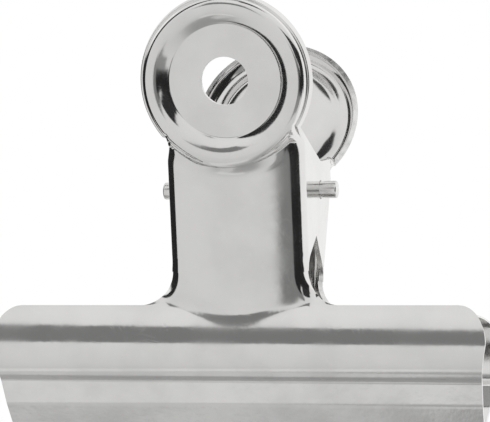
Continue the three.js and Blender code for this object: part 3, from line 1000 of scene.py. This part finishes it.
nickel = metal(
    "bright nickel",
    bright=(0.82, 0.815, 0.805),
    dull=(0.77, 0.765, 0.755),
    worn=(0.93, 0.925, 0.915),
    smooth=0.07,
    rough=0.16,
    patches=130.0,
    across=1500.0,
    along=260.0,
    marks_top=0.0185,
    depths=(0.000012, 0.000005, 0.000001),
)
pin_nickel = metal(
    "pin nickel",
    bright=(0.86, 0.855, 0.845),
    dull=(0.74, 0.735, 0.72),
    worn=(0.9, 0.895, 0.88),
    smooth=0.12,
    rough=0.26,
    patches=420.0,
    across=300.0,
    along=3600.0,
    marks_top=0.06,
    depths=(0.000008, 0.000004, 0.000002),
)
wire_steel = metal(
    "spring wire",
    bright=(0.56, 0.56, 0.55),
    dull=(0.44, 0.44, 0.43),
    worn=(0.68, 0.68, 0.67),
    smooth=0.24,
    rough=0.38,
    patches=500.0,
    across=3800.0,
    along=500.0,
    marks_top=0.06,
    depths=(0.000006, 0.000006, 0.000002),
)

sheared_edge = metal(
    "sheared nickel edge",
    bright=(0.9, 0.895, 0.885),
    dull=(0.8, 0.795, 0.785),
    worn=(0.95, 0.945, 0.935),
    smooth=0.2,
    rough=0.34,
    patches=900.0,
    across=2600.0,
    along=2600.0,
    marks_top=0.07,
    depths=(0.000004, 0.000004, 0.0),
)

# The pieces, then the bodies that they ride on, the nodes that they stand for and their finishes

front_plate, rear_plate = jaw_plates(nickel, sheared_edge)
pin = hinge_pin()
pin.data.materials.append(pin_nickel)
spring = torsion_spring()
spring.data.materials.append(wire_steel)

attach(front_plate, "front")
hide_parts("front_jaw")
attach(rear_plate, "rear")
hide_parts("rear_jaw")
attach(pin, "front")
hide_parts("hinge_pin")
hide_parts("torsion_spring")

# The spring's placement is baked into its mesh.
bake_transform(spring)

# Floor, pale, and seen through from below, because the photograph looks up past its edge

# Half of the floor's side, in metres
FLOOR_HALF = 3.0
FLOOR_COLOR = (0.85, 0.85, 0.85, 1.0)


def floor_finish():
    """Pale and matt. It is clear from below, and to the metal, which mirrors the studio instead."""
    material = bpy.data.materials.new("pale floor")
    material.use_nodes = True
    tree = material.node_tree
    tree.nodes.clear()
    output = add_node(tree, "ShaderNodeOutputMaterial")
    matt = add_node(tree, "ShaderNodeBsdfDiffuse")
    matt.inputs["Color"].default_value = FLOOR_COLOR
    clear = add_node(tree, "ShaderNodeBsdfTransparent")
    blend = add_node(tree, "ShaderNodeMixShader")
    backfacing = add_node(tree, "ShaderNodeNewGeometry").outputs["Backfacing"]
    mirrored = add_node(tree, "ShaderNodeLightPath").outputs["Is Glossy Ray"]
    tree.links.new(math_step(tree, "MAXIMUM", backfacing, mirrored), blend.inputs["Fac"])
    tree.links.new(matt.outputs[0], blend.inputs[1])
    tree.links.new(clear.outputs[0], blend.inputs[2])
    tree.links.new(blend.outputs[0], output.inputs["Surface"])
    return material


floor_bm = bmesh.new()
bmesh.ops.create_grid(floor_bm, x_segments=1, y_segments=1, size=FLOOR_HALF)
floor = mesh_object("pale_floor", floor_bm)
floor.data.materials.append(floor_finish())

# World: white to the camera, and to the metal a pale studio with soft dark and bright cards

world = bpy.data.worlds.new("studio")
bpy.context.scene.world = world
world.use_nodes = True


def soft_card_group():
    """Mask of a soft card in the studio, by azimuth and elevation in degrees."""
    tree = bpy.data.node_groups.new("soft card", "ShaderNodeTree")
    sockets = ("Azimuth", "Elevation", "Middle", "Height", "Half Width", "Half Height", "Slope", "Softness")
    for name in sockets:
        tree.interface.new_socket(name, in_out="INPUT", socket_type="NodeSocketFloat")
    tree.interface.new_socket("Mask", in_out="OUTPUT", socket_type="NodeSocketFloat")
    given = add_node(tree, "NodeGroupInput").outputs
    across = math_step(tree, "SUBTRACT", given["Azimuth"], given["Middle"])
    lean = math_step(tree, "MULTIPLY", across, given["Slope"])
    level = math_step(tree, "SUBTRACT", given["Elevation"], given["Height"])
    above = math_step(tree, "SUBTRACT", level, lean)
    past = []
    for value, half in ((across, given["Half Width"]), (above, given["Half Height"])):
        size = math_step(tree, "ABSOLUTE", value)
        over = math_step(tree, "SUBTRACT", size, half)
        past.append(math_step(tree, "MAXIMUM", over, 0.0))
    squares = [math_step(tree, "MULTIPLY", value, value) for value in past]
    distance = math_step(tree, "SQRT", math_step(tree, "ADD", *squares))
    fade = add_node(tree, "ShaderNodeMapRange", interpolation_type="SMOOTHSTEP")
    tree.links.new(distance, fade.inputs["Value"])
    tree.links.new(given["Softness"], fade.inputs["From Max"])
    fade.inputs["To Min"].default_value = 1.0
    fade.inputs["To Max"].default_value = 0.0
    result = add_node(tree, "NodeGroupOutput")
    tree.links.new(fade.outputs["Result"], result.inputs["Mask"])
    return tree


# Level of the studio's wall against elevation in degrees
WALL_LEVELS = (
    (-90.0, 0.34),
    (-78.0, 0.36),
    (-70.0, 0.44),
    (-62.0, 0.63),
    (-50.0, 0.69),
    (-28.0, 0.73),
    (8.0, 0.74),
    (30.0, 0.80),
    (48.0, 0.86),
    (65.0, 0.78),
    (90.0, 0.60),
)

# Cards: middle azimuth and height, half width and height, slope, softness, and level
STUDIO_CARDS = {
    "bright right side": (140.0, 20.0, 50.0, 55.0, 0.0, 8.0, 0.97),
    "floor strip": (-32.0, -63.8, 26.0, 1.9, 0.0, 3.0, 0.745),
    "grey ceiling": (-14.0, 77.0, 50.0, 7.0, 0.0, 7.0, 0.33),
    "grey sill": (-13.0, 14.7, 11.0, 9.7, -0.5, 3.0, 0.21),
    "floor on the left": (-57.0, -73.5, 18.5, 4.5, 0.0, 2.5, 0.61),
    "grey right bench": (21.0, -20.0, 9.0, 9.0, 0.0, 6.0, 0.22),
    "dark right bench": (49.0, -19.0, 23.0, 7.0, 0.1, 4.0, 0.02),
    "dark right door": (69.0, 2.0, 20.0, 17.0, 0.0, 5.0, 0.02),
    "dark right sign": (43.0, 5.5, 13.0, 10.5, 0.0, 4.0, 0.03),
    "grey right floor": (38.0, -33.0, 20.0, 4.0, 0.0, 4.0, 0.30),
    "dark lamp": (27.0, 64.0, 22.0, 7.0, 0.0, 4.0, 0.05),
    "bright left window": (-104.0, 32.0, 24.0, 9.0, 0.0, 6.0, 1.0),
    "dark left door": (-122.0, -2.0, 28.0, 14.0, 0.0, 5.0, 0.02),
    "slanting left frame": (-78.0, 8.0, 31.0, 26.0, 1.9, 4.0, 0.02),
}


def studio_world(tree):
    tree.nodes.clear()
    ray = add_node(tree, "ShaderNodeTexCoord")
    parts = add_node(tree, "ShaderNodeSeparateXYZ")
    tree.links.new(ray.outputs["Generated"], parts.inputs[0])
    front = math_step(tree, "MULTIPLY", parts.outputs["Y"], -1.0)
    turn = math_step(tree, "ARCTAN2", parts.outputs["X"], front)
    azimuth = math_step(tree, "DEGREES", turn)
    elevation = math_step(tree, "DEGREES", math_step(tree, "ARCSINE", parts.outputs["Z"]))
    share = add_node(tree, "ShaderNodeMapRange")
    tree.links.new(elevation, share.inputs["Value"])
    share.inputs["From Min"].default_value = WALL_LEVELS[0][0]
    share.inputs["From Max"].default_value = WALL_LEVELS[-1][0]
    wall = add_node(tree, "ShaderNodeValToRGB")
    tree.links.new(share.outputs["Result"], wall.inputs["Fac"])
    ramp = wall.color_ramp
    ramp.interpolation = "B_SPLINE"
    for place, (angle, level) in enumerate(WALL_LEVELS):
        position = (angle - WALL_LEVELS[0][0]) / (WALL_LEVELS[-1][0] - WALL_LEVELS[0][0])
        stop = ramp.elements[0] if place == 0 else ramp.elements.new(position)
        stop.position = position
        stop.color = (level, level, level, 1.0)
    ramp.elements.remove(ramp.elements[-1])
    color = wall.outputs["Color"]
    cards = soft_card_group()
    for name, (*shape, level) in STUDIO_CARDS.items():
        card = add_node(tree, "ShaderNodeGroup", node_tree=cards, label=name)
        tree.links.new(azimuth, card.inputs["Azimuth"])
        tree.links.new(elevation, card.inputs["Elevation"])
        for socket, value in zip(list(card.inputs)[2:], shape):
            socket.default_value = value
        blend = add_node(tree, "ShaderNodeMix", data_type="RGBA")
        tree.links.new(card.outputs["Mask"], blend.inputs["Factor"])
        tree.links.new(color, blend.inputs["A"])
        blend.inputs["B"].default_value = (level, level, level, 1.0)
        color = blend.outputs["Result"]
    rays = add_node(tree, "ShaderNodeLightPath")
    seen = add_node(tree, "ShaderNodeMix", data_type="RGBA")
    tree.links.new(rays.outputs["Is Glossy Ray"], seen.inputs["Factor"])
    seen.inputs["A"].default_value = (1.0, 1.0, 1.0, 1.0)
    tree.links.new(color, seen.inputs["B"])
    background = add_node(tree, "ShaderNodeBackground")
    tree.links.new(seen.outputs["Result"], background.inputs["Color"])
    output = add_node(tree, "ShaderNodeOutputWorld")
    tree.links.new(background.outputs["Background"], output.inputs["Surface"])


studio_world(world.node_tree)

# Camera, at the photograph's place and angle

VIEW_TURN = math.radians(13.61)
VIEW_RISE = math.radians(-7.34)
VIEW_ROLL = math.radians(1.32)
VIEW_DISTANCE = 416.5
VIEW_ASIDE = -0.85
VIEW_UP = -3.15
FOCAL_PIXELS = 2741.0
PHOTO_WIDTH = 490.0
SENSOR = 36.0

back = Vector((
    math.sin(VIEW_TURN) * math.cos(VIEW_RISE),
    -math.cos(VIEW_TURN) * math.cos(VIEW_RISE),
    math.sin(VIEW_RISE),
))
level = Vector((math.cos(VIEW_TURN), math.sin(VIEW_TURN), 0.0))
upright = back.cross(level)
right = level * math.cos(VIEW_ROLL) + upright * math.sin(VIEW_ROLL)
up = upright * math.cos(VIEW_ROLL) - level * math.sin(VIEW_ROLL)
spot = back * VIEW_DISTANCE + right * VIEW_ASIDE + up * VIEW_UP + Vector((0.0, 0.0, PIN_HEIGHT))

camera_data = bpy.data.cameras.new("camera")
camera_data.sensor_width = SENSOR
camera_data.lens = FOCAL_PIXELS / PHOTO_WIDTH * SENSOR
camera = placed("camera", camera_data)
turn = Matrix((right, up, back)).transposed().to_4x4()
camera.matrix_world = Matrix.Translation(spot * MM) @ turn
bpy.context.scene.camera = camera
bpy.context.scene.view_settings.view_transform = "Standard"
